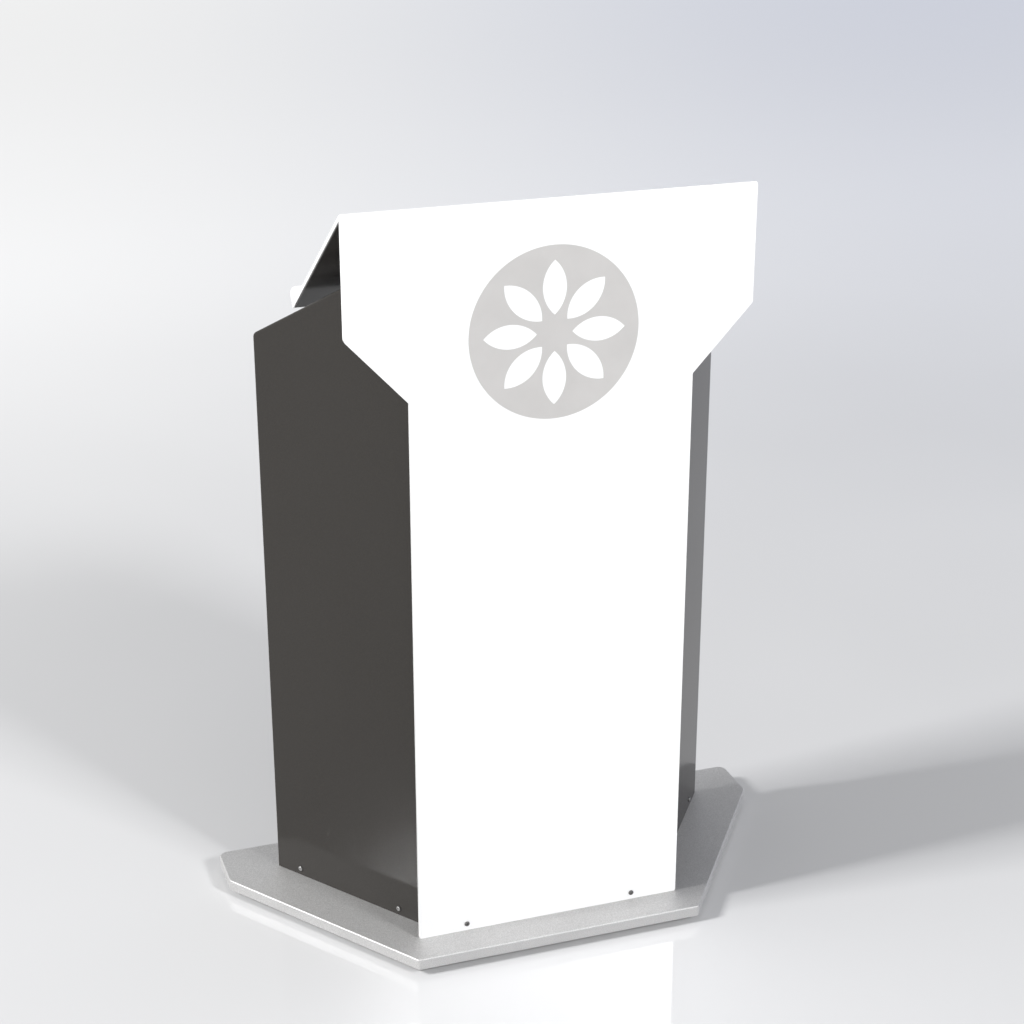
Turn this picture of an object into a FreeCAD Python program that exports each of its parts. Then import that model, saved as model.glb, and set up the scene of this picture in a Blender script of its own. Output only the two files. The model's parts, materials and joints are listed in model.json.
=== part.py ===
import FreeCAD, Part
import os
from math import cos, pi, radians, sin, tan

# Presentation lectern, in millimetres. +Z is up, +X is to the right of somebody in the audience and
# +Y points to the presenter. The origin is on the floor, under the centre of the base plate.

V = FreeCAD.Vector
X, Y, Z = V(1, 0, 0), V(0, 1, 0), V(0, 0, 1)

# Base plate
base_width = 900.0
base_depth = 400.0
base_front_width = 456.0
plate_thickness = 18.0
flare = 35.5                      # angle between the sides and the depth direction, degrees
base_front_corner = 8.0
base_rear_corner = 14.0
plate_chamfer = 1.2

# Glides under the plate
glide_height = 10.5
glide_radius = 20.0
glide_rim = 1.5
glide_counterbore_radius = 5.2
glide_counterbore_depth = 6.0
glide_front = (185.0, -148.0)     # x to each side, y
glide_rear_outer = (390.0, 130.0)
glide_rear_inner = (190.0, 155.0)
glide_head_radius = 5.0
glide_head_height = 3.0
glide_shank_radius = 2.5
glide_shank_length = 16.0
glide_hole_depth = 12.0           # up into the plate

# Upstands that the panels' low screws go into, and the screws that hold them to the plate
upstand_leg = 25.0
upstand_thickness = 3.0
upstand_bend = 2.5
upstand_foot_hole = 15.0          # from the upright's outer face
front_upstand_half = 148.0
side_upstand_overhang = 22.0      # past the low screws at both ends
upstand_screw_inset = 40.0
rear_rail_screw_x = 220.0
upstand_shank_radius = 3.0
upstand_head_radius = 6.0
upstand_head_height = 3.0
upstand_seat_clearance = 0.6      # round the sunk head and above it
upstand_screw_grip = 4.5          # past the plate's top

# White front panel and desk
panel = 6.0                       # thickness of both
front_setback = 54.0              # from the base's front edge to the panel's face
head_width = 600.0
stem_width = 421.0
head_bottom = 984.0               # where the wide head starts to narrow, above the floor
stem_top = 887.0
ridge_height = 1160.0             # where the panel's face and the desk's top would meet
slope = 34.4
desk_length = 365.0               # down the slope, to the outside of the lip
lip_height = 26.0                 # above the desk's top
corner_radius = 8.0
stem_corner_radius = 3.0
lip_bend = 3.0
ridge_radius = 2.5

# Emblem film
emblem_radius = 125.0
emblem_height = 968.0
film = 0.3
petal_count = 8
petal_root = 26.0                 # from the emblem's centre
petal_tip = 104.0
petal_half_width = 17.0
petal_widest = 73.0

# Tray under the desk, and the spacers that hold the two clear of the body
sheet = 2.0
tray_side_gap = 1.0
tray_lip_gap = 4.0
tray_flange = 32.0
ridge_screw_rise = 9.0            # above the bottom of the tray's flange
ridge_screw_spacing = 220.0
spacer_radius = 8.0
spacer_half_spacing = 120.0
spacer_rows = (100.0, 255.0)      # down the slope from the ridge
spacer_shank_radius = 3.0
spacer_head_radius = 5.5
spacer_head_height = 3.0
stem_screw_half_spacing = 90.0
stem_screw_heights = (300.0, 640.0, 980.0)
blind_depth = 4.5                 # of a screw hole in a white panel

# Cable ways
grommet_distance = 84.0           # down the slope from the ridge
grommet_radius = 28.0
grommet_wall = 3.0
grommet_flange = 5.0
grommet_flange_thickness = 2.0
grommet_edge = 0.8
slot_width = 60.0
slot_height = 14.0
slot_z = 44.0
trim_flange = 2.0
trim_flange_thickness = 1.5
trim_wall = 2.5

# Dark sheet-metal body
body_rear_width = 736.0
body_depth_behind_panel = 273.5
body_drop = 37.4                  # from the desk's top to the body's top, square to the slope
bend_radius = 3.0                 # outside of a fold
rear_corner_radius = 9.0          # outside of the fold along the rear top edge
side_flange = 25.0
front_flange_gap = 300.0          # between the two sides' front flanges
door_opening_width = 672.0
door_opening_bottom = 60.0
door_opening_top = 880.0
rail_flange = 20.0
rail_lip = 12.0
rail_end_gap = 0.5
rail_side_gap = 0.3
inner_panel_gap = 3.0             # short of the body's fold, at both sides
inner_panel_top_gap = 8.0
lid_gap = 0.5
lid_side_gap = 2.5
lid_screw_rows = (70.0, 200.0, 310.0)
rivet_inset = 8.0                 # from the front flanges' edges
rivet_heights = (120.0, 450.0, 780.0, 1060.0)
rivet_head_radius = 3.6
rivet_head_height = 1.0

# Screws
clearance = 0.1                   # round a shank in its hole
running_clearance = 0.05
small_shank_radius = 2.0
small_head_radius = 3.5
small_head_height = 1.8
low_head_radius = 4.0
low_head_height = 2.0
low_screw_height = 40.0
low_front_shank = 15.0
low_side_shank = 9.0
front_screw_spacing = 270.0
side_screw_setback = 51.5         # from the body's rear corner, along the side
side_screw_spacing = 200.0
lid_shank = 8.0

# Shelf
shelf_height = 480.0              # top face
shelf_depth = 215.0
shelf_setback = 20.0              # behind the inner front panel
shelf_lip = 18.0
shelf_side_gap = 1.0
shelf_bend = 1.5
bracket_leg = 20.0
bracket_start = 75.0              # from the body's rear corner, along the side
bracket_length = 190.0

# Doors and hinges
door_sheet = 1.5
door_thickness = 15.0
door_lip = 13.5
door_bend = 2.0
door_gap = 3.0
door_edge_gap = 2.0
knuckle_radius = 4.0
pin_radius = 2.0
knuckle_length = 30.0
knuckle_gap = 0.5
leaf_width = 15.0
leaf_thickness = 1.5
hinge_heights = (140.0, 470.0, 800.0)
bumper_radius = 4.5
bumper_gap = 0.4
bumper_drop = 6.5                 # below the top of the door opening
bumper_places = (-260.0, -60.0, 60.0, 260.0)

# Pulls
pull_spacing = 96.0
pull_offset = 60.0                # from the centre line
pull_height = 560.0
pull_reach = 28.0
pull_radius = 4.0
pull_bend = 10.0
pull_shank = 11.0
pull_hole_depth = 11.0

# Lock on the right-hand door
lock_offset = 25.0
lock_height = 450.0
lock_body_radius = 8.0
lock_collar_radius = 10.5
lock_collar_thickness = 2.0
lock_collar_edge = 0.9
plug_radius = 5.5
plug_stand = 1.6                  # of the plug's face out of the door
keyway_width = 1.4
keyway_height = 7.2
keyway_depth = 7.0
cam_setback = 23.0                # from the door's face to the cam
cam_gap = 1.0                     # from the lock's body to the cam
cam_thickness = 2.5
cam_width = 14.0
cam_length = 38.0
cam_corner = 3.0
neck_radius = 3.5
nut_radius = 12.0                 # over its corners
nut_thickness = 3.0
cam_screw_radius = 1.5
cam_screw_length = 6.0
cam_head_radius = 5.0
cam_head_height = 2.0

# Slide bolt on the left-hand door
bolt_offset = 26.0
bolt_setback = 8.5                # from the door's face to the rod's centre
bolt_radius = 4.0
bolt_bottom = 740.0
bolt_point = 1.0
bolt_hole_clearance = 0.3
bolt_rail_clearance = 0.5
thumb_pin_height = 796.0
thumb_pin_radius = 3.5
thumb_pin_length = 22.0
guide_heights = (765.0, 835.0)
guide_thickness = 4.0
guide_half_width = 8.0
guide_wall = 2.5
guide_corner = 4.0

# Worked-out places
plate_bottom = glide_height
plate_top = glide_height + plate_thickness
base_front_y = -base_depth / 2
panel_face_y = base_front_y + front_setback
panel_back_y = panel_face_y + panel
body_front_y = panel_back_y + sheet
body_rear_y = panel_back_y + body_depth_behind_panel
tan_flare = tan(radians(flare))
cos_flare = cos(radians(flare))
tan_slope = tan(radians(slope))
cos_slope = cos(radians(slope))
half_ridge_angle = radians(45 - slope / 2)
tray_underside = -panel - sheet
lid_top = -body_drop - sheet      # in the desk's frame
lid_underside = lid_top - sheet
shelf_front_y = body_front_y + shelf_setback
door_outer_x = door_opening_width / 2 - door_gap
door_inner_x = door_gap / 2
door_bottom = door_opening_bottom + door_edge_gap
door_top = door_opening_top - door_edge_gap
hinge_x = door_outer_x + door_gap / 2
hinge_y = body_rear_y + knuckle_radius
cam_y = body_rear_y - cam_setback
bolt_y = body_rear_y - bolt_setback

far = 1500.0                      # past the whole lectern, for bodies that only cut
past = 5.0                        # past a face, for a hole that goes through


def box(x0, x1, y0, y1, z0, z1):
    return Part.makeBox(x1 - x0, y1 - y0, z1 - z0, V(x0, y0, z0))


def prism(points, direction):
    return Part.Face(Part.makePolygon(points + points[:1])).extrude(direction)


def rod(centre, direction, radius, length):
    return Part.makeCylinder(radius, length, centre, direction)


def hole(centre, direction, radius, depth=past):
    """A rod that is centred on a face and reaches depth to both sides of it."""
    return rod(centre - direction * depth, direction, radius, 2 * depth)


def mirrored(shape):
    return shape.mirror(V(0, 0, 0), X)


def with_mirrored_places(places):
    return places + [V(-p.x, p.y, p.z) for p in places]


def fuse(shapes):
    return shapes[0].multiFuse(shapes[1:]).removeSplitter()


def straight_edges(shape, wanted):
    """The straight edges for which wanted(middle, unit direction) holds."""
    chosen = []
    for edge in shape.Edges:
        start, end = edge.firstVertex().Point, edge.lastVertex().Point
        along = end - start
        if along.Length > 1e-6 and wanted((start + end) * 0.5, along.normalize()):
            chosen.append(edge)
    return chosen


def rounded(shape, radius, wanted):
    return shape.makeFillet(radius, straight_edges(shape, wanted))


def runs_along(direction, axis):
    return abs(direction.dot(axis)) > 0.9


def pan_screw(seat, inward, head_radius, head_height, shank_radius, length):
    """A screw with a low domed head that stands out from its seat, and a shank that goes inward."""
    outward = inward * -1
    head = rod(seat, outward, head_radius, head_height)
    rim = [e for e in head.Edges if e.Length > head_radius and
           abs((e.CenterOfMass - seat).dot(outward) - head_height) < 1e-6]
    head = head.makeFillet(head_height * 0.6, rim)
    socket = rod(seat + outward * (head_height * 0.4), outward, head_radius * 0.38, head_height)
    return fuse([head.cut(socket), rod(seat, inward, shank_radius, length)])


def small_screw(seat, inward, length):
    return pan_screw(seat, inward, small_head_radius, small_head_height, small_shank_radius, length)


def on_desk(shape):
    """From the desk's frame (y down the slope from the ridge, z out of the desk's top) to the lectern's."""
    placed = shape.copy()
    placed.rotate(V(0, 0, 0), X, -slope)
    placed.translate(V(0, panel_face_y, ridge_height))
    return placed


def desk_point(y, z):
    return on_desk(Part.Vertex(V(0, y, z))).Point


def on_left_side(shape):
    """From the left side's frame (x forward from its rear corner, y inward, z up) to the lectern's."""
    placed = shape.copy()
    placed.rotate(V(0, 0, 0), Z, flare - 90)
    placed.translate(V(-body_rear_width / 2, body_rear_y, 0))
    return placed


# ---- base ----

def upstand_screw_places():
    """Where screws come up through the plate into the upstands and the bottom rail."""
    start = side_screw_setback - side_upstand_overhang
    end = side_screw_setback + side_screw_spacing + side_upstand_overhang
    places = [on_left_side(Part.Vertex(V(x, sheet + upstand_foot_hole, 0))).Point
              for x in (start + upstand_screw_inset, end - upstand_screw_inset)]
    places.append(V(upstand_screw_inset - front_upstand_half, body_front_y + upstand_foot_hole, 0))
    places.append(V(-rear_rail_screw_x, body_rear_y - upstand_foot_hole, 0))
    return with_mirrored_places(places)


def glide_places():
    return with_mirrored_places([V(-x, y, 0) for x, y in (glide_front, glide_rear_outer, glide_rear_inner)])


def drilled(shape):
    """With clearance holes for the screws that come up through the plate."""
    for place in upstand_screw_places():
        shape = shape.cut(rod(place, Z, upstand_shank_radius + clearance, plate_top + past))
    return shape


def base_plate():
    half, front_half = base_width / 2, base_front_width / 2
    side_y = base_front_y + (half - front_half) / tan_flare
    left = [V(-front_half, base_front_y, plate_bottom), V(-half, side_y, plate_bottom),
            V(-half, base_depth / 2, plate_bottom)]
    right = [V(-p.x, p.y, p.z) for p in reversed(left)]
    plate = prism(left + right, Z * plate_thickness)
    plate = rounded(plate, base_front_corner,
                    lambda m, d: runs_along(d, Z) and m.y < base_front_y + 1)
    plate = rounded(plate, base_rear_corner, lambda m, d: runs_along(d, Z) and m.y > 0)
    rims = [e for e in plate.Edges if abs(e.BoundBox.ZMax - e.BoundBox.ZMin) < 1e-6]
    plate = drilled(plate.makeChamfer(plate_chamfer, rims))
    for place in upstand_screw_places():
        seat = V(place.x, place.y, plate_bottom)
        plate = plate.cut(Part.makeCone(upstand_head_radius + upstand_seat_clearance,
                                        upstand_shank_radius + clearance,
                                        upstand_head_height + upstand_seat_clearance, seat, Z))
    for place in glide_places():
        plate = plate.cut(rod(place + Z * glide_height, Z, glide_shank_radius + clearance, glide_hole_depth))
    return plate


def glides():
    pads = []
    for place in glide_places():
        pad = rod(place, Z, glide_radius, glide_height)
        pad = pad.makeFillet(glide_rim, [e for e in pad.Edges if e.BoundBox.ZMax < 1e-6])
        pad = pad.cut(hole(place, Z, glide_counterbore_radius, glide_counterbore_depth - 1))
        pads.append(pad.cut(rod(place, Z, glide_shank_radius + clearance, glide_height)))
    return Part.makeCompound(pads)


def glide_screws():
    screws = []
    for place in glide_places():
        seat = place + Z * (glide_counterbore_depth - 1)
        head = rod(seat, Z * -1, glide_head_radius, glide_head_height)
        screws.append(fuse([head, rod(seat, Z, glide_shank_radius, glide_shank_length)]))
    return Part.makeCompound(screws)


def upstand(length):
    """A steel angle lying along x, its upright leg's outer face at y = 0 and its foot towards +y."""
    upright = box(0, length, 0, upstand_thickness, 0, upstand_leg)
    foot = box(0, length, 0, upstand_leg, 0, upstand_thickness)
    return rounded(fuse([upright, foot]), upstand_bend,
                   lambda m, d: runs_along(d, X) and m.y < 1e-6 and m.z < 1e-6)


def front_upstand():
    angle = upstand(2 * front_upstand_half)
    angle.translate(V(-front_upstand_half, body_front_y, plate_top))
    angle = drilled(angle)
    for screw in low_front_screws(clearance):
        angle = angle.cut(screw)
    return angle


def left_upstand():
    angle = upstand(side_screw_spacing + 2 * side_upstand_overhang)
    angle.translate(V(side_screw_setback - side_upstand_overhang, sheet, plate_top))
    angle = drilled(on_left_side(angle))
    for screw in low_left_screws(clearance):
        angle = angle.cut(screw)
    return angle


def upstand_screws():
    """Countersunk screws from under the plate."""
    screws = []
    for place in upstand_screw_places():
        foot = V(place.x, place.y, plate_bottom + 5 * clearance)
        head = Part.makeCone(upstand_head_radius, upstand_shank_radius, upstand_head_height, foot, Z)
        shank = rod(foot, Z, upstand_shank_radius, plate_thickness + upstand_screw_grip)
        screws.append(fuse([head, shank]))
    return Part.makeCompound(screws)


def low_front_screws(extra=0.0):
    return [pan_screw(V(x, panel_face_y, low_screw_height), Y, low_head_radius, low_head_height,
                      small_shank_radius + extra, low_front_shank)
            for x in (-front_screw_spacing / 2, front_screw_spacing / 2)]


def low_left_screws(extra=0.0):
    return [on_left_side(pan_screw(V(x, 0, low_screw_height), Y, low_head_radius, low_head_height,
                                   small_shank_radius + extra, low_side_shank))
            for x in (side_screw_setback, side_screw_setback + side_screw_spacing)]


# ---- white panels ----

def under_ridge(depth):
    """The point, seen from the side, that is depth inside both the front face and the desk's top."""
    return panel_face_y + depth, ridge_height - depth / tan(half_ridge_angle)


def tee():
    """The front view of the front panel: a wide head, cut-back shoulders and a stem."""
    head, stem = head_width / 2, stem_width / 2
    left = [V(-stem, -far, plate_top), V(-stem, -far, stem_top), V(-head, -far, head_bottom),
            V(-head, -far, ridge_height)]
    right = [V(-p.x, p.y, p.z) for p in reversed(left)]
    outline = prism(left + right, Y * (2 * far))
    outline = rounded(outline, corner_radius,
                      lambda m, d: runs_along(d, Y) and stem_top + 1 < m.z < head_bottom + 1)
    return rounded(outline, stem_corner_radius, lambda m, d: runs_along(d, Y) and m.z < stem_top + 1)


def head_block():
    """Everything between the head's two edges, with the ridge's two ends rounded."""
    block = box(-head_width / 2, head_width / 2, -far, far, 0, ridge_height)
    return rounded(block, corner_radius, lambda m, d: runs_along(d, Y) and m.z > ridge_height - 1)


def bent_section(points, half_width):
    return prism([V(-half_width, y, z) for y, z in points], X * (2 * half_width))


def white_shell():
    """Front panel, desk and lip as one bent section, before the mitre along the ridge."""
    half = head_width / 2
    front = bent_section([(panel_face_y, plate_top), (panel_face_y, ridge_height),
                          under_ridge(panel), (panel_back_y, plate_top)], half).common(tee())
    desk = bent_section([(0, 0), (panel / tan(half_ridge_angle), -panel), (desk_length, -panel),
                         (desk_length, lip_height), (desk_length - panel, lip_height),
                         (desk_length - panel, 0)], half)
    desk = rounded(desk, corner_radius, lambda m, d: runs_along(d, Y) and m.z > lip_height - 1)
    desk = rounded(desk, lip_bend, lambda m, d: runs_along(d, X) and m.y > desk_length - 1 and m.z < 0)
    shell = fuse([front, on_desk(desk)])
    shell = rounded(shell, ridge_radius, lambda m, d: runs_along(d, X) and m.z > ridge_height - 0.5)
    return shell.common(head_block())


def ridge_wedge():
    """Everything on the front panel's side of the mitre plane."""
    depth = V(0, sin(half_ridge_angle), -cos(half_ridge_angle))
    top = V(-far, panel_face_y, ridge_height) - depth * past
    bottom = top + depth * (2 * far)
    return prism([top, bottom, bottom - Y * (2 * far), top - Y * (2 * far)], X * (2 * far))


def grommet_hole(z0, z1, radius):
    return on_desk(rod(V(0, grommet_distance, z0), Z, radius, z1 - z0))


def spacer_places():
    return [(x, y) for x in (-spacer_half_spacing, spacer_half_spacing) for y in spacer_rows]


def ridge_screw_places():
    z = under_ridge(panel)[1] - tray_flange + ridge_screw_rise
    return [V(x, panel_back_y, z) for x in (-ridge_screw_spacing, 0.0, ridge_screw_spacing)]


def stem_screw_places():
    return [V(x, panel_back_y, z) for x in (-stem_screw_half_spacing, stem_screw_half_spacing)
            for z in stem_screw_heights]


def front_panel():
    body = white_shell().common(ridge_wedge())
    for screw in low_front_screws(clearance):
        body = body.cut(screw)
    for place in ridge_screw_places() + stem_screw_places():
        body = body.cut(rod(place, Y * -1, small_shank_radius + clearance, blind_depth))
    return body


def desk_top():
    """The desk, with a flush seat for the cable liner's flange."""
    body = white_shell().cut(ridge_wedge())
    for x, y in spacer_places():
        body = body.cut(on_desk(rod(V(x, y, -panel), Z, spacer_shank_radius + clearance, blind_depth)))
    body = body.cut(grommet_hole(-panel - past, past, grommet_radius + clearance))
    return body.cut(grommet_hole(-grommet_flange_thickness, past, grommet_radius + grommet_flange + clearance))


def emblem():
    """A round film with a ring of petals cut out of it, so the white panel shows through."""
    centre = V(0, panel_face_y - film, emblem_height)
    root, tip = V(0, 0, petal_root), V(0, 0, petal_tip)
    side, other = V(petal_half_width, 0, petal_widest), V(-petal_half_width, 0, petal_widest)
    outline = Part.Wire([Part.Arc(root, side, tip).toShape(), Part.Arc(tip, other, root).toShape()])
    petals = []
    for k in range(petal_count):
        petal = Part.Face(outline).extrude(Y * (film * 3))
        petal.rotate(V(0, 0, 0), Y, 360.0 * k / petal_count)
        petal.translate(centre - Y * film)
        petals.append(petal)
    return rod(centre, Y, emblem_radius, film).cut(Part.makeCompound(petals))


# ---- desk tray and spacers ----

def desk_tray():
    """Dark sheet under the desk, turned down behind the front panel."""
    outer, inner = under_ridge(panel), under_ridge(panel + sheet)
    flange_bottom = outer[1] - tray_flange
    lower, upper = [desk_point(desk_length - panel - tray_lip_gap, z) for z in (tray_underside, -panel)]
    tray = bent_section([(panel_back_y, flange_bottom), outer, (upper.y, upper.z), (lower.y, lower.z),
                         inner, (body_front_y, flange_bottom)], head_width / 2 - tray_side_gap)
    for x, y in spacer_places():
        tray = tray.cut(on_desk(hole(V(x, y, tray_underside), Z, spacer_shank_radius + clearance)))
    for place in ridge_screw_places():
        tray = tray.cut(hole(place, Y, small_shank_radius + clearance))
    return tray.cut(grommet_hole(tray_underside - past, past, grommet_radius + clearance))


def desk_spacers():
    tubes = []
    for x, y in spacer_places():
        foot = V(x, y, lid_top)
        tube = rod(foot, Z, spacer_radius, tray_underside - lid_top)
        bore = hole(foot, Z, spacer_shank_radius + clearance, body_drop)
        tubes.append(on_desk(tube.cut(bore)))
    return Part.makeCompound(tubes)


def spacer_screws():
    """Long screws from inside the body, through the spacers, into the desk."""
    length = -lid_underside - panel + blind_depth - 0.5
    return Part.makeCompound([on_desk(pan_screw(V(x, y, lid_underside), Z, spacer_head_radius,
                                                spacer_head_height, spacer_shank_radius, length))
                              for x, y in spacer_places()])


def back_screws(places):
    """Small screws from behind a sheet into blind holes in the front panel."""
    return Part.makeCompound([small_screw(p + Y * sheet, Y * -1, sheet + blind_depth - 0.5)
                              for p in places])


# ---- sheet-metal body ----

def body_top_z(y, inset):
    """Height of the body's sloping top, inset square to it."""
    return ridge_height - (y - panel_face_y) * tan_slope - (body_drop + inset) / cos_slope


def side_x(y, inset):
    """Half-width of the body at y, inset square to the flared side."""
    return body_rear_width / 2 - (body_rear_y - y) * tan_flare - inset / cos_flare


def trapezoid(inset, y0, y1, z0, z1):
    """The body's plan between y0 and y1, inset from its sides."""
    return prism([V(-side_x(y0, inset), y0, z0), V(side_x(y0, inset), y0, z0),
                  V(side_x(y1, inset), y1, z0), V(-side_x(y1, inset), y1, z0)], Z * (z1 - z0))


def envelope(inset, bottom):
    """The body's outer form, or the same form inset, with its folds rounded."""
    front, rear = body_front_y + inset, body_rear_y - inset
    low = body_top_z(rear, inset)
    profile = prism([V(-far, front, bottom), V(-far, rear, bottom), V(-far, rear, low),
                     V(-far, front, body_top_z(front, inset))], X * (2 * far))
    form = trapezoid(inset, front, rear, bottom, far).common(profile)
    form = rounded(form, rear_corner_radius - inset,
                   lambda m, d: runs_along(d, X) and m.y > rear - 1 and m.z > low - 1)
    return rounded(form, bend_radius - inset,
                   lambda m, d: abs(m.x) > side_x(m.y, inset) - 1 and m.z > bottom + 1)


def body_shell():
    return envelope(0, plate_top).cut(envelope(sheet, plate_top - past))


def left_side_panel(shell):
    """The left side, with its flanges turned in along the front, the top and the rear."""
    middle = trapezoid(side_flange, body_front_y - far / 10, body_rear_y + far / 10, 0, far)
    front_gap = box(-front_flange_gap / 2, far, -far, body_front_y + past, 0, far)
    rear_gap = box(-door_opening_width / 2, far, body_rear_y - past, far, 0, far)
    other_half = box(0, far, -far, far, 0, far)
    side = shell.cut(fuse([middle, front_gap, rear_gap, other_half]))
    for screw in low_left_screws(clearance):
        side = side.cut(screw)
    for x, y in lid_screw_places():
        if x < 0:
            side = side.cut(on_desk(hole(V(x, y, -body_drop), Z, small_shank_radius + clearance)))
    for place in front_rivet_places():
        side = side.cut(hole(place, Y, small_shank_radius + clearance))
    return side


def front_rivet_places():
    x = front_flange_gap / 2 + rivet_inset
    return with_mirrored_places([V(-x, body_front_y, z) for z in rivet_heights])


def front_rivets():
    rivets = []
    for place in front_rivet_places():
        head = rod(place + Y * sheet, Y, rivet_head_radius, rivet_head_height)
        rivets.append(fuse([head, hole(place, Y, small_shank_radius, sheet)]))
    return Part.makeCompound(rivets)


def inner_front_panel():
    """The sheet that ties the two sides together behind the white panel."""
    half = side_x(body_front_y, 0) - inner_panel_gap
    top = body_top_z(body_front_y, 0) - inner_panel_top_gap
    plate = box(-half, half, panel_back_y, body_front_y, plate_top, top)
    for screw in low_front_screws(clearance):
        plate = plate.cut(screw)
    for place in front_rivet_places() + stem_screw_places():
        plate = plate.cut(hole(place, Y, small_shank_radius + clearance))
    return plate


def lid_screw_places():
    """Screws through the sides' top flanges into the lid, in the desk's frame."""
    places = []
    for y in lid_screw_rows:
        x = side_x(desk_point(y, -body_drop).y, side_flange / 2)
        places += [(-x, y), (x, y)]
    return places


def body_top():
    """Sloping lid, fastened under the sides' top flanges."""
    column = trapezoid(sheet + lid_side_gap, body_front_y + sheet + lid_gap,
                       body_rear_y - rear_corner_radius, 0, far)
    lid = column.common(on_desk(box(-far, far, -far, far, lid_underside, lid_top)))
    for x, y in lid_screw_places():
        lid = lid.cut(on_desk(hole(V(x, y, lid_top), Z, small_shank_radius + clearance)))
    for x, y in spacer_places():
        lid = lid.cut(on_desk(hole(V(x, y, lid_top), Z, spacer_shank_radius + clearance)))
    return lid.cut(grommet_hole(lid_underside - past, lid_top + past, grommet_radius + clearance))


def body_top_screws():
    return Part.makeCompound([on_desk(small_screw(V(x, y, -body_drop), Z * -1, lid_shank))
                              for x, y in lid_screw_places()])


def rear_top_rail(shell):
    """Folded rail over the doors: top leaf, rear face, inward flange and a lip for the door bumpers."""
    half = door_opening_width / 2 - rail_end_gap
    flange_y = body_rear_y - rail_flange
    folded = shell.common(box(-half, half, body_rear_y - 2 * rail_flange, far, door_opening_top, far))
    folded = folded.common(trapezoid(side_flange + rail_side_gap, body_rear_y - 2 * rail_flange - past,
                                     body_rear_y + past, 0, far))
    flange = box(-half, half, flange_y, body_rear_y - sheet, door_opening_top, door_opening_top + sheet)
    lip = box(-half, half, flange_y, flange_y + sheet, door_opening_top - rail_lip, door_opening_top)
    bolt_hole = hole(V(-bolt_offset, bolt_y, door_opening_top), Z, bolt_radius + bolt_rail_clearance)
    return fuse([folded, flange, lip]).cut(bolt_hole)


def stadium(width, height, y0, y1):
    """A lying slot shape with round ends, at the cable slot's height."""
    r = height / 2
    middle = box(-width / 2 + r, width / 2 - r, y0, y1, slot_z - r, slot_z + r)
    ends = [rod(V(side * (width / 2 - r), y0, slot_z), Y, r, y1 - y0) for side in (-1, 1)]
    return fuse([middle] + ends)


def rear_bottom_rail():
    """Folded channel under the doors, with the cable slot in its rear face."""
    half = door_opening_width / 2 - rail_end_gap
    rear, front, top = body_rear_y, body_rear_y - side_flange, door_opening_bottom
    channel = box(-half, half, front, rear, plate_top, top)
    channel = rounded(channel, bend_radius,
                      lambda m, d: runs_along(d, X) and m.y > rear - 1 and m.z > top - 1)
    inside = box(-far, far, front - past, rear - sheet, plate_top + sheet, top - sheet)
    inside = rounded(inside, bend_radius - sheet,
                     lambda m, d: runs_along(d, X) and m.y > rear - sheet - 1 and m.z > top - sheet - 1)
    clear_of_upstands = trapezoid(side_flange + 2 * sheet, front - past, rear - sheet, 0, 2 * top)
    face = box(-half, half, rear - sheet, rear, 0, 2 * top)
    channel = channel.cut(inside).common(fuse([clear_of_upstands, face]))
    return drilled(channel.cut(stadium(slot_width, slot_height, rear - past, rear + past)))


def cable_slot_trim():
    rear, front = body_rear_y, body_rear_y - sheet
    outer = stadium(slot_width + 2 * trim_flange, slot_height + 2 * trim_flange,
                    front - trim_flange_thickness, rear + trim_flange_thickness)
    groove = stadium(2 * slot_width, 2 * slot_height, front, rear)
    core = stadium(slot_width, slot_height, front, rear)
    opening = stadium(slot_width - 2 * trim_wall, slot_height - 2 * trim_wall, front - past, rear + past)
    return outer.cut(groove.cut(core)).cut(opening)


def grommet(tube_top, top_flange_z, bottom_flange_z):
    """A round cable liner, in the desk's frame, with flanges that start at these heights."""
    axis_y = grommet_distance
    outer = grommet_radius + grommet_flange
    tube = rod(V(0, axis_y, bottom_flange_z), Z, grommet_radius, tube_top - bottom_flange_z)
    flanges = [rod(V(0, axis_y, z), Z, outer, grommet_flange_thickness)
               for z in (top_flange_z, bottom_flange_z)]
    solid = fuse([tube] + flanges)
    rim = [e for e in solid.Edges if e.BoundBox.ZMin > tube_top - 0.1 and e.BoundBox.XMax > grommet_radius]
    solid = solid.makeFillet(grommet_edge, rim)
    bore = rod(V(0, axis_y, bottom_flange_z - past), Z, grommet_radius - grommet_wall, body_drop)
    return on_desk(solid.cut(bore))


def desk_grommet():
    """Its top flange lies flush in the desk."""
    return grommet(0.0, -grommet_flange_thickness, tray_underside - grommet_flange_thickness)


def body_grommet():
    return grommet(lid_top + grommet_flange_thickness, lid_top, lid_underside - grommet_flange_thickness)


# ---- shelf ----

def shelf():
    """A tray with its front and rear edges turned down."""
    front, rear = shelf_front_y, shelf_front_y + shelf_depth
    side_gap = sheet + shelf_side_gap
    lip_gap = side_gap + bracket_leg + sheet
    underside = shelf_height - sheet
    top = trapezoid(side_gap, front, rear, underside, shelf_height)
    front_lip = trapezoid(lip_gap, front, front + sheet, shelf_height - shelf_lip, underside)
    rear_lip = trapezoid(lip_gap, rear - sheet, rear, shelf_height - shelf_lip, underside)
    return rounded(fuse([top, front_lip, rear_lip]), shelf_bend,
                   lambda m, d: runs_along(d, X) and m.y > rear - 0.5 and m.z > shelf_height - 0.5)


def shelf_brackets():
    """Angles on the inside of both sides, under the shelf."""
    start, end, top = bracket_start, bracket_start + bracket_length, shelf_height - sheet
    upright = box(start, end, sheet, 2 * sheet, top - bracket_leg, top)
    ledge = box(start, end, sheet, sheet + bracket_leg, top - sheet, top)
    left = on_left_side(fuse([upright, ledge]))
    return Part.makeCompound([left, mirrored(left)])


# ---- doors ----

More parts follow.
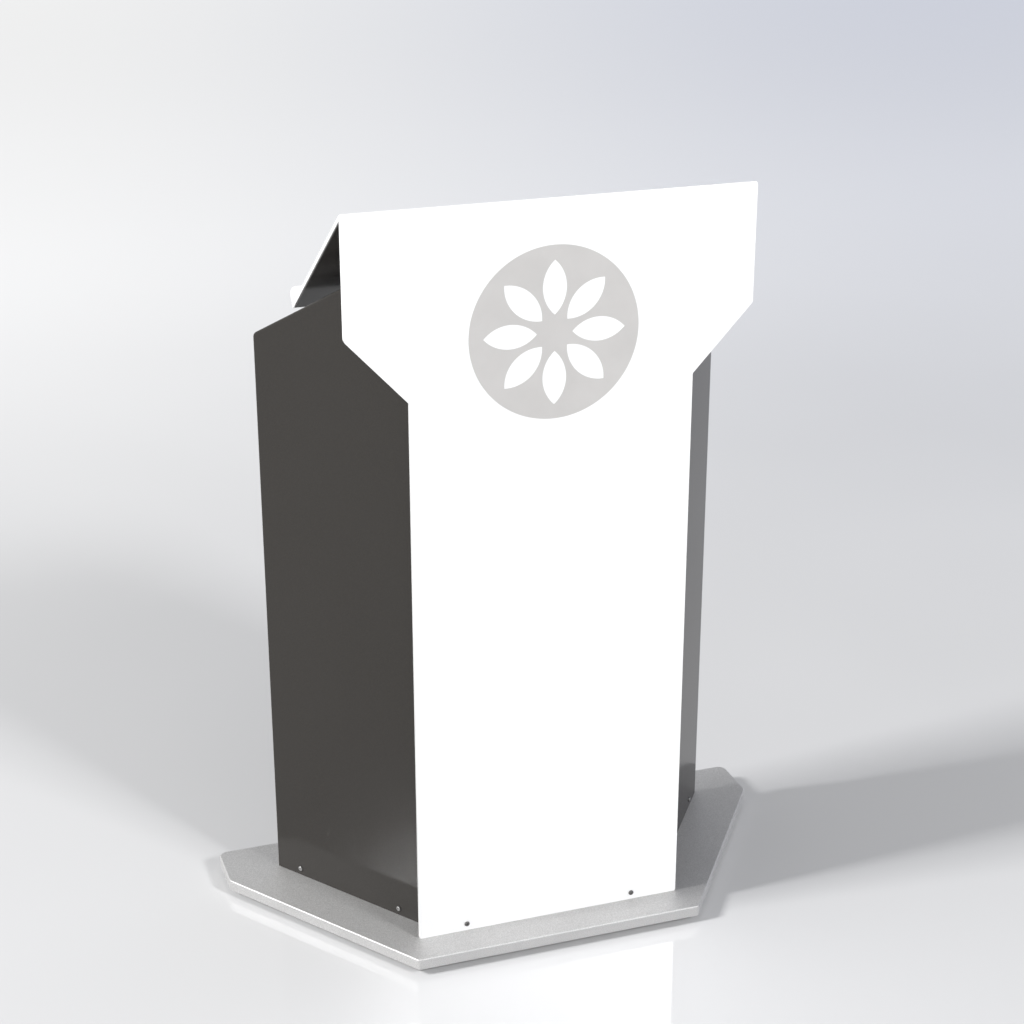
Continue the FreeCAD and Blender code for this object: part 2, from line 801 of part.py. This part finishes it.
def door_pan():
    """The right-hand door: a folded pan with narrow lips round its open back."""
    rear, front = body_rear_y, body_rear_y - door_thickness
    pan = box(door_inner_x, door_outer_x, front, rear, door_bottom, door_top)
    pan = rounded(pan, door_bend, lambda m, d: abs(d.y) < 0.1 and m.y > rear - 1e-6)
    cavity = box(door_inner_x + door_sheet, door_outer_x - door_sheet, front + door_sheet,
                 rear - door_sheet, door_bottom + door_sheet, door_top - door_sheet)
    window = box(door_inner_x + door_lip, door_outer_x - door_lip, front - past, rear - door_sheet,
                 door_bottom + door_lip, door_top - door_lip)
    pan = pan.cut(cavity).cut(window)
    for place in pull_screw_places():
        pan = pan.cut(hole(place, Y, small_shank_radius + clearance))
    return pan


def left_door():
    bolt_hole = hole(V(-bolt_offset, bolt_y, door_top), Z, bolt_radius + bolt_hole_clearance)
    return mirrored(door_pan()).cut(bolt_hole)


def right_door():
    return door_pan().cut(hole(V(lock_offset, body_rear_y, lock_height), Y, lock_body_radius + clearance))


def knuckle(z, leaf_side):
    """Half a hinge: a barrel and the leaf welded to the frame (+1) or to the door (-1)."""
    axis = V(hinge_x, hinge_y, z)
    barrel = rod(axis, Z, knuckle_radius, knuckle_length)
    ends = sorted((hinge_x, hinge_x + leaf_side * (leaf_width + door_gap / 2)))
    leaf = box(ends[0], ends[1], body_rear_y, body_rear_y + leaf_thickness, z, z + knuckle_length)
    bore = hole(axis, Z, pin_radius + running_clearance, knuckle_length + 1)
    return fuse([barrel, leaf]).cut(bore)


def right_hinge_frame_halves():
    return Part.makeCompound([knuckle(z - knuckle_length, 1) for z in hinge_heights])


def right_hinge_door_halves():
    return Part.makeCompound([knuckle(z + knuckle_gap, -1) for z in hinge_heights])


def right_hinge_pins():
    return Part.makeCompound([hole(V(hinge_x, hinge_y, z), Z, pin_radius, knuckle_length - 1)
                              for z in hinge_heights])


def pull_screw_places():
    return [V(pull_offset, body_rear_y, pull_height + side * pull_spacing / 2) for side in (-1, 1)]


def right_pull():
    """A round bar bent into a bow, with a blind screw hole in each leg."""
    x, y0, y1 = pull_offset, body_rear_y, body_rear_y + pull_reach
    low, high = pull_screw_places()
    z0, z1 = low.z, high.z
    chord = pull_bend * (1 - cos(pi / 4))
    path = Part.Wire([
        Part.makeLine(V(x, y0, z0), V(x, y1 - pull_bend, z0)),
        Part.Arc(V(x, y1 - pull_bend, z0), V(x, y1 - chord, z0 + chord), V(x, y1, z0 + pull_bend)).toShape(),
        Part.makeLine(V(x, y1, z0 + pull_bend), V(x, y1, z1 - pull_bend)),
        Part.Arc(V(x, y1, z1 - pull_bend), V(x, y1 - chord, z1 - chord), V(x, y1 - pull_bend, z1)).toShape(),
        Part.makeLine(V(x, y1 - pull_bend, z1), V(x, y0, z1))])
    section = Part.Wire(Part.makeCircle(pull_radius, low, Y))
    bow = path.makePipeShell([section], True, False)
    for place in (low, high):
        bow = bow.cut(hole(place, Y, small_shank_radius + clearance, pull_hole_depth))
    return bow


def right_pull_screws():
    return Part.makeCompound([small_screw(place - Y * door_sheet, Y, pull_shank)
                              for place in pull_screw_places()])


def door_bumpers():
    """Round pads on the rail's lip, just clear of the closed doors."""
    lip_back = body_rear_y - rail_flange + sheet
    thickness = body_rear_y - door_thickness - lip_back - bumper_gap
    return Part.makeCompound([rod(V(x, lip_back, door_opening_top - bumper_drop), Y, bumper_radius, thickness)
                              for x in bumper_places])


# ---- lock ----

def lock_point(y):
    return V(lock_offset, y, lock_height)


def lock_housing():
    tube = rod(lock_point(cam_y + cam_gap), Y, lock_body_radius, cam_setback - cam_gap)
    collar = rod(lock_point(body_rear_y), Y, lock_collar_radius, lock_collar_thickness)
    rim = [e for e in collar.Edges
           if e.BoundBox.YMin > body_rear_y + lock_collar_thickness - 0.1 and e.Length > lock_collar_radius]
    collar = collar.makeFillet(lock_collar_edge, rim)
    return fuse([tube, collar]).cut(hole(lock_point(body_rear_y), Y, plug_radius + clearance, 2 * cam_setback))


def lock_nut():
    back = body_rear_y - door_sheet
    corners = [lock_point(back) + V(cos(radians(60 * k)), 0, sin(radians(60 * k))) * nut_radius
               for k in range(6)]
    nut = prism(corners, Y * -nut_thickness)
    return nut.cut(hole(lock_point(back), Y, lock_body_radius + clearance))


def lock_plug():
    """The turning core: keyway at the front, neck for the cam at the back."""
    face_y = body_rear_y + plug_stand
    core = rod(lock_point(cam_y), Y, plug_radius, face_y - cam_y)
    neck = rod(lock_point(cam_y), Y * -1, neck_radius, cam_thickness)
    keyway = box(lock_offset - keyway_width / 2, lock_offset + keyway_width / 2, face_y - keyway_depth, far,
                 lock_height - keyway_height / 2, lock_height + keyway_height / 2)
    screw_hole = hole(lock_point(cam_y - cam_thickness), Y, cam_screw_radius + clearance,
                      cam_screw_length + 1)
    return fuse([core, neck]).cut(keyway).cut(screw_hole)


def lock_cam():
    """A flat arm that hangs down when the lock is open."""
    front = cam_y - cam_thickness
    arm = box(lock_offset - cam_width / 2, lock_offset + cam_width / 2, front, cam_y,
              lock_height - cam_length, lock_height)
    arm = rounded(arm, cam_corner, lambda m, d: runs_along(d, Y) and m.z < lock_height - 1)
    eye = rod(lock_point(front), Y, cam_width / 2, cam_thickness)
    return fuse([arm, eye]).cut(hole(lock_point(front), Y, neck_radius + running_clearance))


def cam_screw():
    return pan_screw(lock_point(cam_y - cam_thickness), Y, cam_head_radius, cam_head_height,
                     cam_screw_radius, cam_screw_length)


# ---- slide bolt ----

def bolt_point_at(z):
    return V(-bolt_offset, bolt_y, z)


def bolt_rod():
    """A round rod with a thumb pin, drawn back so that its tip is level with the door's top edge."""
    shaft = rod(bolt_point_at(bolt_bottom), Z, bolt_radius, door_top - bolt_bottom)
    shaft = shaft.makeChamfer(bolt_point, [e for e in shaft.Edges if e.BoundBox.ZMin > door_top - 1])
    return fuse([shaft, rod(bolt_point_at(thumb_pin_height), Y * -1, thumb_pin_radius, thumb_pin_length)])


def bolt_guides():
    """Two saddles fixed inside the door."""
    guides = []
    for z in guide_heights:
        saddle = box(-bolt_offset - guide_half_width, -bolt_offset + guide_half_width,
                     bolt_y - bolt_radius - guide_wall, body_rear_y - door_sheet, z, z + guide_thickness)
        saddle = rounded(saddle, guide_corner, lambda m, d: runs_along(d, Z) and m.y < bolt_y)
        guides.append(saddle.cut(hole(bolt_point_at(z), Z, bolt_radius + clearance)))
    return Part.makeCompound(guides)


def build():
    shell = body_shell()
    side, upright = left_side_panel(shell), left_upstand()
    low_left = low_left_screws()
    return {
        "base_plate": base_plate(),
        "glides": glides(),
        "glide_screws": glide_screws(),
        "front_upstand": front_upstand(),
        "left_upstand": upright,
        "right_upstand": mirrored(upright),
        "upstand_screws": upstand_screws(),
        "front_panel": front_panel(),
        "desk_top": desk_top(),
        "emblem": emblem(),
        "desk_tray": desk_tray(),
        "desk_spacers": desk_spacers(),
        "spacer_screws": spacer_screws(),
        "ridge_screws": back_screws(ridge_screw_places()),
        "stem_screws": back_screws(stem_screw_places()),
        "desk_grommet": desk_grommet(),
        "inner_front_panel": inner_front_panel(),
        "front_rivets": front_rivets(),
        "left_side_panel": side,
        "right_side_panel": mirrored(side),
        "body_top": body_top(),
        "body_top_screws": body_top_screws(),
        "body_grommet": body_grommet(),
        "rear_top_rail": rear_top_rail(shell),
        "rear_bottom_rail": rear_bottom_rail(),
        "cable_slot_trim": cable_slot_trim(),
        "front_screws": Part.makeCompound(low_front_screws()),
        "side_screws": Part.makeCompound(low_left + [mirrored(s) for s in low_left]),
        "shelf": shelf(),
        "shelf_brackets": shelf_brackets(),
        "left_door": left_door(),
        "right_door": right_door(),
        "right_hinge_frame_halves": right_hinge_frame_halves(),
        "right_hinge_door_halves": right_hinge_door_halves(),
        "right_hinge_pins": right_hinge_pins(),
        "left_hinge_frame_halves": mirrored(right_hinge_frame_halves()),
        "left_hinge_door_halves": mirrored(right_hinge_door_halves()),
        "left_hinge_pins": mirrored(right_hinge_pins()),
        "right_pull": right_pull(),
        "left_pull": mirrored(right_pull()),
        "right_pull_screws": right_pull_screws(),
        "left_pull_screws": mirrored(right_pull_screws()),
        "door_bumpers": door_bumpers(),
        "lock_housing": lock_housing(),
        "lock_nut": lock_nut(),
        "lock_plug": lock_plug(),
        "lock_cam": lock_cam(),
        "cam_screw": cam_screw(),
        "bolt_rod": bolt_rod(),
        "bolt_guides": bolt_guides(),
    }


os.makedirs("parts", exist_ok=True)
for node, shape in build().items():
    shape.exportStep("parts/" + node + ".step")
    print(node, len(shape.Solids), "solids, valid:", shape.isValid())
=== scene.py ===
import json
import math

import bpy
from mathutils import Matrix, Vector

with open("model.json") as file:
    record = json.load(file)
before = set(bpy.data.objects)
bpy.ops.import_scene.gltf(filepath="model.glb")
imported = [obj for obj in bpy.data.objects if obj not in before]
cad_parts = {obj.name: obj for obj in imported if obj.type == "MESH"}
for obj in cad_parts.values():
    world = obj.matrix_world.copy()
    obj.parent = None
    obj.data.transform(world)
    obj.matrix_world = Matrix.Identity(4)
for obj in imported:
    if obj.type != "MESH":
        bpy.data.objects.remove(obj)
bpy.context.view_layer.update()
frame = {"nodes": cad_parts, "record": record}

scene = bpy.context.scene

# The colour sockets of a Mix node, by their places among its inputs and outputs
MIX_FIRST, MIX_SECOND, MIX_RESULT = 6, 7, 2

# Small edge breaks on the plates and sheets (lengths in metres)
WELD_DISTANCE = 1e-5
SAWN_EDGE = 0.0006
SHEET_EDGE = 0.0003
EDGE_SEGMENTS = 2
SHARP_ANGLE = math.radians(35)
FACE_WEIGHT = 100

# Floor: lengths in metres, and the tones near the lectern and far behind it; the paler far tone is
# painted light, brightness put into the floor's colour in place of light falling there
FLOOR_HALF = 200.0
FLOOR_STEPS = 8
FLOOR_PALE_FROM, FLOOR_PALE_TO = 1.2, 4.5
FLOOR_NEAR = ((0.605, 0.605, 0.61), (0.645, 0.645, 0.65))
FLOOR_FAR_PAINTED_LIGHT = (0.80, 0.80, 0.805)

# Surroundings: limits on the upward and the rightward part of a direction of length 1
SKY_LOW, SKY_HIGH = 0.22, 0.52
LOW_STRENGTH, HIGH_STRENGTH = 1.28, 0.29
SKY_LEFT, SKY_RIGHT = 0.08, 0.52
LEFT_TONE = (1.02, 1.02, 1.01, 1.0)
RIGHT_TONE = (0.62, 0.655, 0.77, 1.0)

# Softboxes: place, width and height in metres, power in watts
LIT_POINT = (0, 0, 0.5)
KEY = ((-9.1, -0.13, 6.5), 1.6, 2.2, 1290)
FRONT_RIGHT = ((4.0, -7.54, 5.9), 1.8, 1.8, 640)

# Camera (lens in millimetres, places in metres)
LENS = 72.528
EYE = (-0.94559, -2.71491, 1.80217)
LOOKED_AT = (-0.06228, -0.146, 0.70922)


# ---- procedural materials: noise scales are per metre, bump distances in metres ----

def set_range(node, low, high, to_low, to_high):
    for key, number in (("From Min", low), ("From Max", high), ("To Min", to_low), ("To Max", to_high)):
        node.inputs[key].default_value = number


class Nodes:
    """A principled material whose nodes are added one at a time, in object coordinates (metres)."""

    def __init__(self, name, **values):
        self.material = bpy.data.materials.new(name)
        self.material.use_nodes = True
        self.tree = self.material.node_tree
        self.shader = next(n for n in self.tree.nodes if n.type == "BSDF_PRINCIPLED")
        self.place = self.tree.nodes.new("ShaderNodeTexCoord").outputs["Object"]
        for key, value in values.items():
            self.shader.inputs[key.replace("_", " ")].default_value = value

    def link(self, a, b):
        self.tree.links.new(a, b)

    def new(self, kind, **values):
        node = self.tree.nodes.new("ShaderNode" + kind)
        for key, value in values.items():
            setattr(node, key, value)
        return node

    def stretched(self, x, y, z):
        """Object coordinates scaled along each axis, so that a noise is drawn out along the others."""
        node = self.new("Mapping")
        self.link(self.place, node.inputs["Vector"])
        node.inputs["Scale"].default_value = (x, y, z)
        return node.outputs["Vector"]

    def noise(self, scale, detail=2.0, rough=0.5, place=None):
        node = self.new("TexNoise")
        self.link(place or self.place, node.inputs["Vector"])
        node.inputs["Scale"].default_value = scale
        node.inputs["Detail"].default_value = detail
        node.inputs["Roughness"].default_value = rough
        return node.outputs["Fac"]

    def spread(self, value, low, high, to_low, to_high, kind="LINEAR"):
        node = self.new("MapRange", interpolation_type=kind)
        self.link(value, node.inputs["Value"])
        set_range(node, low, high, to_low, to_high)
        return node.outputs["Result"]

    def sum(self, a, b):
        node = self.new("Math", operation="ADD")
        self.link(a, node.inputs[0])
        self.link(b, node.inputs[1])
        return node.outputs[0]

    def times(self, a, b):
        node = self.new("Math", operation="MULTIPLY")
        self.link(a, node.inputs[0])
        if isinstance(b, float):
            node.inputs[1].default_value = b
        else:
            self.link(b, node.inputs[1])
        return node.outputs[0]

    def blend(self, amount, first, second):
        node = self.new("Mix", data_type="RGBA")
        self.link(amount, node.inputs["Factor"])
        for key, colour in ((MIX_FIRST, first), (MIX_SECOND, second)):
            if isinstance(colour, tuple):
                node.inputs[key].default_value = (*colour, 1.0)
            else:
                self.link(colour, node.inputs[key])
        return node.outputs[MIX_RESULT]

    def colour(self, value):
        self.link(value, self.shader.inputs["Base Color"])

    def roughness(self, value):
        self.link(value, self.shader.inputs["Roughness"])

    def bump(self, height, distance, strength=1.0):
        node = self.new("Bump")
        self.link(height, node.inputs["Height"])
        node.inputs["Distance"].default_value = distance
        node.inputs["Strength"].default_value = strength
        self.link(node.outputs["Normal"], self.shader.inputs["Normal"])


def grey(value, warm=0.0):
    """A grey of that linear value, a little warmer where warm is above 0."""
    return (value * (1 + warm), value, value * (1 - warm))


def silver_plate():
    """Silver metal with fine bright flakes over a faintly cloudy grey."""
    m = Nodes("silver_plate", Metallic=0.6)
    flakes = m.spread(m.noise(900, 1.0), 0.35, 0.68, 0, 1)
    patches = m.spread(m.noise(16, 3.0), 0.3, 0.7, 0, 1)
    colour = m.blend(flakes, grey(0.44, 0.008), grey(0.64, 0.008))
    m.colour(m.blend(m.times(patches, 0.18), colour, grey(0.40)))
    m.roughness(m.sum(m.spread(flakes, 0, 1, 0.50, 0.60), m.times(patches, 0.04)))
    m.bump(m.sum(flakes, m.times(m.noise(420, 2.0), 0.6)), 0.00012, 0.5)
    return m.material


def white_gloss():
    """Smooth white sheet under a clear gloss coat."""
    m = Nodes("white_gloss", Coat_Weight=0.8, Coat_Roughness=0.05, Specular_IOR_Level=0.5)
    haze = m.spread(m.noise(3, 3.0), 0.25, 0.75, 0, 1)
    m.colour(m.blend(haze, grey(0.875, 0.002), grey(0.895, 0.002)))
    m.roughness(m.spread(m.noise(18, 3.0), 0.3, 0.7, 0.20, 0.24))
    m.bump(m.noise(160, 2.0), 0.0002, 0.03)
    return m.material


def emblem_film():
    """Satin grey film with a fine texture."""
    m = Nodes("emblem_film", Specular_IOR_Level=0.35)
    fibre = m.noise(900, 2.0)
    haze = m.spread(m.noise(22, 3.0), 0.3, 0.7, 0, 1)
    m.colour(m.blend(haze, grey(0.50, 0.025), grey(0.53, 0.025)))
    m.roughness(m.spread(fibre, 0.3, 0.7, 0.42, 0.55))
    m.bump(fibre, 0.00008, 0.35)
    return m.material


def dark_grey():
    """Fine dark grey powder coat with a faint speckle, smooth enough to mirror the floor."""
    m = Nodes("dark_grey", IOR=1.2)
    grain = m.noise(950, 2.0, 0.6)
    speckle = m.spread(grain, 0.38, 0.66, 0, 1)
    haze = m.spread(m.noise(5, 3.0), 0.3, 0.7, 0, 1)
    colour = m.blend(speckle, grey(0.030, 0.08), grey(0.039, 0.08))
    m.colour(m.blend(m.times(haze, 0.3), colour, grey(0.036, 0.07)))
    m.roughness(m.sum(m.spread(grain, 0.3, 0.7, 0.10, 0.14), m.times(haze, 0.02)))
    m.bump(m.noise(140, 3.0), 0.0002, 0.03)
    return m.material


def zinc():
    """Zinc plate with small crystals."""
    m = Nodes("zinc", Metallic=1.0)
    crystals = m.spread(m.noise(260, 3.0), 0.3, 0.7, 0, 1)
    fine = m.noise(1500, 2.0)
    m.colour(m.blend(crystals, grey(0.24, -0.01), grey(0.34, 0.01)))
    m.roughness(m.sum(m.spread(crystals, 0, 1, 0.24, 0.36), m.times(fine, 0.05)))
    m.bump(fine, 0.00006, 0.4)
    return m.material


def dark_screw():
    """Dark plated steel, worn lighter in small spots."""
    m = Nodes("dark_screw", Metallic=0.6)
    wear = m.spread(m.noise(700, 3.0), 0.45, 0.75, 0, 1)
    m.colour(m.blend(wear, grey(0.12, 0.02), grey(0.20, 0.02)))
    fine = m.noise(1300, 2.0)
    m.roughness(m.spread(fine, 0.3, 0.7, 0.3, 0.45))
    m.bump(fine, 0.00006, 0.4)
    return m.material


def satin_nickel():
    """Satin nickel, brushed along the height."""
    m = Nodes("satin_nickel", Metallic=1.0)
    brushed = m.noise(1, 3.0, 0.6, m.stretched(2600, 2600, 60))
    cloud = m.spread(m.noise(60, 2.0), 0.3, 0.7, 0, 1)
    m.colour(m.blend(cloud, grey(0.52, 0.03), grey(0.60, 0.035)))
    m.roughness(m.spread(brushed, 0.3, 0.7, 0.22, 0.36))
    m.bump(brushed, 0.00004, 0.5)
    return m.material


def black_plastic():
    """Black plastic with a fine pebble grain."""
    m = Nodes("black_plastic", Specular_IOR_Level=0.45)
    pebble = m.noise(1100, 2.0)
    m.colour(m.blend(m.spread(m.noise(40, 3.0), 0.3, 0.7, 0, 1), grey(0.016), grey(0.024)))
    m.roughness(m.spread(pebble, 0.3, 0.7, 0.45, 0.6))
    m.bump(pebble, 0.00012, 0.6)
    return m.material


def rubber_pad():
    """Dull black rubber with a little dust."""
    m = Nodes("rubber_pad", Specular_IOR_Level=0.3)
    dust = m.spread(m.noise(300, 4.0, 0.7), 0.45, 0.8, 0, 1)
    m.colour(m.blend(dust, grey(0.022), grey(0.045)))
    m.roughness(m.spread(dust, 0, 1, 0.7, 0.85))
    m.bump(m.noise(1600, 2.0), 0.0001, 0.5)
    return m.material


finishes = {make.__name__: make() for make in (silver_plate, white_gloss, emblem_film, dark_grey, zinc,
                                               dark_screw, satin_nickel, black_plastic, rubber_pad)}
slot_of = {part["node"]: part["material_slot"] for part in frame["record"]["subparts"]}
for name, node in frame["nodes"].items():
    if not node.material_slots:
        node.data.materials.append(None)
    for slot in node.material_slots:
        slot.material = finishes[slot_of[name]]


# ---- small edge breaks on the plates and sheets ----

edge_break = {"front_panel": SAWN_EDGE, "desk_top": SAWN_EDGE}
for name in ("left_side_panel", "right_side_panel", "left_door", "right_door", "rear_top_rail",
             "rear_bottom_rail", "base_plate", "shelf", "body_top"):
    edge_break[name] = SHEET_EDGE
for name, width in edge_break.items():
    node = frame["nodes"][name]
    weld = node.modifiers.new("weld", "WELD")
    weld.merge_threshold = WELD_DISTANCE
    bevel = node.modifiers.new("bevel", "BEVEL")
    bevel.width = width
    bevel.segments = EDGE_SEGMENTS
    bevel.limit_method = "ANGLE"
    bevel.angle_limit = SHARP_ANGLE
    shading = node.modifiers.new("shading", "WEIGHTED_NORMAL")
    shading.weight = FACE_WEIGHT


# ---- studio ----

def stage_material():
    """A pale glossy floor, painted paler towards the back: painted light standing in for a more
    brightly lit far floor.
    """
    m = Nodes("stage", Specular_IOR_Level=0.5)
    parts = m.new("SeparateXYZ")
    m.link(m.place, parts.inputs[0])
    # painted light: the floor's colour grows paler with distance behind the lectern, in place of light
    # falling there
    painted_light_away = m.spread(parts.outputs["Y"], FLOOR_PALE_FROM, FLOOR_PALE_TO, 0, 1, "SMOOTHSTEP")
    cloud = m.spread(m.noise(0.7, 2.0), 0.3, 0.7, 0, 1)
    near = m.blend(cloud, *FLOOR_NEAR)
    m.colour(m.blend(painted_light_away, near, FLOOR_FAR_PAINTED_LIGHT))
    m.roughness(m.spread(m.noise(3.0, 3.0), 0.3, 0.7, 0.05, 0.065))
    return m.material


def floor():
    """A flat grid of squares around the lectern, with the stage material."""
    row = FLOOR_STEPS + 1
    side = [-FLOOR_HALF + 2 * FLOOR_HALF * i / FLOOR_STEPS for i in range(row)]
    corners = [(x, y, 0.0) for y in side for x in side]
    quads = [(j * row + i, j * row + i + 1, (j + 1) * row + i + 1, (j + 1) * row + i)
             for j in range(FLOOR_STEPS) for i in range(FLOOR_STEPS)]
    mesh = bpy.data.meshes.new("floor")
    mesh.from_pydata(corners, [], quads)
    plane = bpy.data.objects.new("floor", mesh)
    scene.collection.objects.link(plane)
    mesh.materials.append(stage_material())


def aim(thing, target):
    thing.rotation_euler = (Vector(target) - thing.location).to_track_quat("-Z", "Y").to_euler()


def softbox(name, place, width, height, power):
    light = bpy.data.lights.new(name, "AREA")
    light.shape = "RECTANGLE"
    light.size = width
    light.size_y = height
    light.energy = power
    lamp = bpy.data.objects.new(name, light)
    scene.collection.objects.link(lamp)
    lamp.location = place
    aim(lamp, LIT_POINT)


def studio_light():
    """Pale surroundings, brighter towards the horizon and a little darker and cooler to the right."""
    world = bpy.data.worlds.new("studio")
    world.use_nodes = True
    tree = world.node_tree
    background = tree.nodes["Background"]
    place = tree.nodes.new("ShaderNodeTexCoord")
    parts = tree.nodes.new("ShaderNodeSeparateXYZ")
    tree.links.new(place.outputs["Generated"], parts.inputs[0])
    height = tree.nodes.new("ShaderNodeMapRange")
    set_range(height, SKY_LOW, SKY_HIGH, LOW_STRENGTH, HIGH_STRENGTH)
    across = tree.nodes.new("ShaderNodeMapRange")
    set_range(across, SKY_LEFT, SKY_RIGHT, 0.0, 1.0)
    for node, source in ((height, "Z"), (across, "X")):
        node.interpolation_type = "SMOOTHSTEP"
        tree.links.new(parts.outputs[source], node.inputs["Value"])
    tone = tree.nodes.new("ShaderNodeMix")
    tone.data_type = "RGBA"
    tree.links.new(across.outputs["Result"], tone.inputs["Factor"])
    tone.inputs[MIX_FIRST].default_value = LEFT_TONE
    tone.inputs[MIX_SECOND].default_value = RIGHT_TONE
    tree.links.new(tone.outputs[MIX_RESULT], background.inputs["Color"])
    tree.links.new(height.outputs["Result"], background.inputs["Strength"])
    scene.world = world


floor()
softbox("key", *KEY)
softbox("front_right", *FRONT_RIGHT)
studio_light()
scene.view_settings.view_transform = "Standard"

camera = bpy.data.cameras.new("camera")
camera.lens = LENS
eye = bpy.data.objects.new("camera", camera)
scene.collection.objects.link(eye)
eye.location = EYE
aim(eye, LOOKED_AT)
scene.camera = eye
